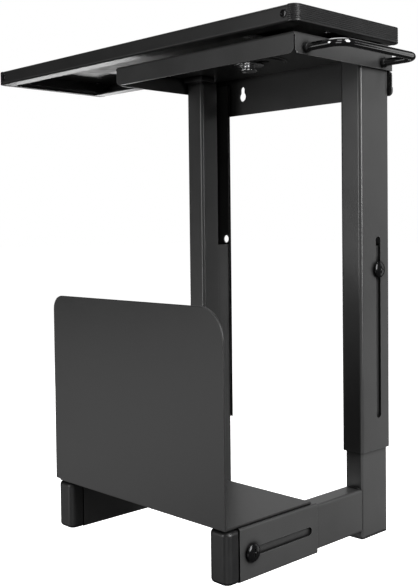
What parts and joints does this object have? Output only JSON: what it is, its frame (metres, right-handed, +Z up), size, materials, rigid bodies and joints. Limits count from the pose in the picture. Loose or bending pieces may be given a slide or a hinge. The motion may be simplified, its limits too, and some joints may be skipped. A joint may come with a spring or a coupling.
{
  "type": "cpu holder",
  "caption": "Black steel under-desk computer holder with sliding, swivelling track mount, telescopic posts, pull handle and an L-shaped tray that widens.",
  "frame": {"origin": "centre of the track's top face, where it meets the underside of the desk", "axes": "+Z up to the desk, +Y to the back of the desk (the pull handle faces -Y), +X from the tray's side panel to the posts"},
  "size_m": [0.2081, 0.4627, 0.4384],
  "materials": {
    "powder_coat": "fine-textured satin black powder coat on steel",
    "cap_plastic": "moulded black plastic, satin",
    "gloss_rod": "glossy black enamel",
    "black_screw": "black oxide and oil",
    "zinc": "bright zinc plate",
    "nylon": "light grey nylon",
    "bearing_plastic": "black acetal",
    "raw_steel": "dark zinc-plated steel"
  },
  "bodies": {
    "track": {"track_channel": "powder_coat", "front_end_cap": "cap_plastic", "rear_end_cap": "cap_plastic", "end_cap_screws": "black_screw", "stop_screws": "black_screw"},
    "carriage": {"carriage_plate": "raw_steel", "left_glide_strip": "nylon", "right_glide_strip": "nylon", "upper_glide_buttons": "nylon", "swivel_spacer": "raw_steel", "swivel_bearing": "bearing_plastic", "swivel_washer": "zinc", "swivel_bolt": "zinc", "swivel_nut": "zinc"},
    "hanger": {"top_bracket": "powder_coat", "pull_handle": "gloss_rod", "handle_collars": "bearing_plastic", "front_outer_post": "powder_coat", "rear_outer_post": "powder_coat", "post_top_plates": "powder_coat"},
    "lower_frame": {"front_inner_post": "powder_coat", "rear_inner_post": "powder_coat", "front_inner_arm": "powder_coat", "rear_inner_arm": "powder_coat", "post_plugs": "cap_plastic", "height_screws": "black_screw", "height_nuts": "raw_steel", "width_screws": "black_screw", "width_nuts": "raw_steel"},
    "tray_slide": {"tray": "powder_coat", "front_sleeve": "powder_coat", "rear_sleeve": "powder_coat", "front_sleeve_cap": "cap_plastic", "rear_sleeve_cap": "cap_plastic"}
  },
  "joints": [
    {"name": "track_slide", "type": "slide", "parent": "track", "child": "carriage", "axis": [0, 1, 0], "range_m": [-0.052, 0.097]},
    {"name": "swivel", "type": "hinge", "parent": "carriage", "child": "hanger", "pos_m": [0, -0.098, -0.018], "axis": [0, 0, 1], "continuous": true},
    {"name": "height_slide", "type": "slide", "parent": "hanger", "child": "lower_frame", "axis": [0, 0, 1], "range_m": [-0.125, 0.025]},
    {"name": "width_slide", "type": "slide", "parent": "lower_frame", "child": "tray_slide", "axis": [-1, 0, 0], "range_m": [0, 0.065]}
  ]
}
